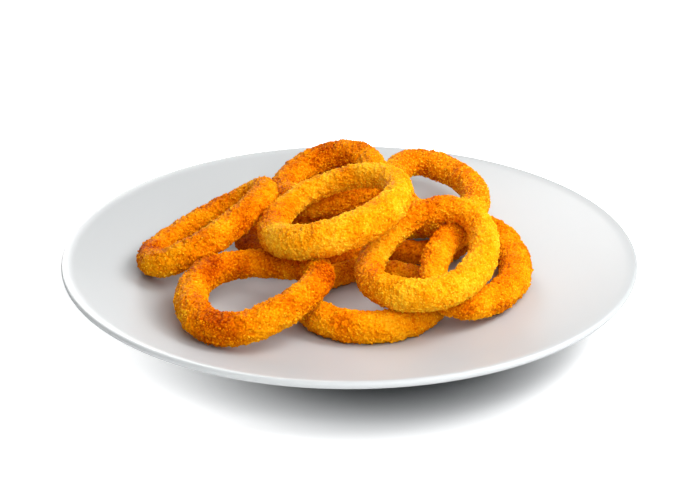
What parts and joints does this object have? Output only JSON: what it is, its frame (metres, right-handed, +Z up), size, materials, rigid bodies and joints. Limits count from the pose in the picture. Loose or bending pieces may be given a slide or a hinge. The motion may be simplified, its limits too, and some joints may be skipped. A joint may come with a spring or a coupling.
{
  "type": "side of onion rings on a plate",
  "caption": "Breaded onion rings piled loosely on a round white coupe plate, each ring a separate crumbed oval tube that leans on its neighbours and on the plate.",
  "frame": {"origin": "centre of the plate's foot ring, on the surface that the plate stands on", "axes": "+Z up out of the plate; -Y is the front, where the lowest rings lie; +X to the right seen from the front"},
  "size_m": [0.27, 0.27, 0.0631],
  "materials": {
    "glaze": "smooth white gloss glaze",
    "crust_golden": "golden yellow fried breadcrumb crust",
    "crust_orange": "deep golden orange fried breadcrumb crust",
    "crust_brown": "orange brown fried breadcrumb crust"
  },
  "bodies": {
    "root": {"plate": "glaze", "ring_front": "crust_orange", "ring_under_left": "crust_brown", "ring_under_right": "crust_brown", "ring_front_left": "crust_orange", "ring_far_right": "crust_orange", "ring_back_right": "crust_golden", "ring_back": "crust_orange", "ring_left": "crust_orange", "ring_right": "crust_golden", "ring_top": "crust_golden"}
  },
  "joints": []
}
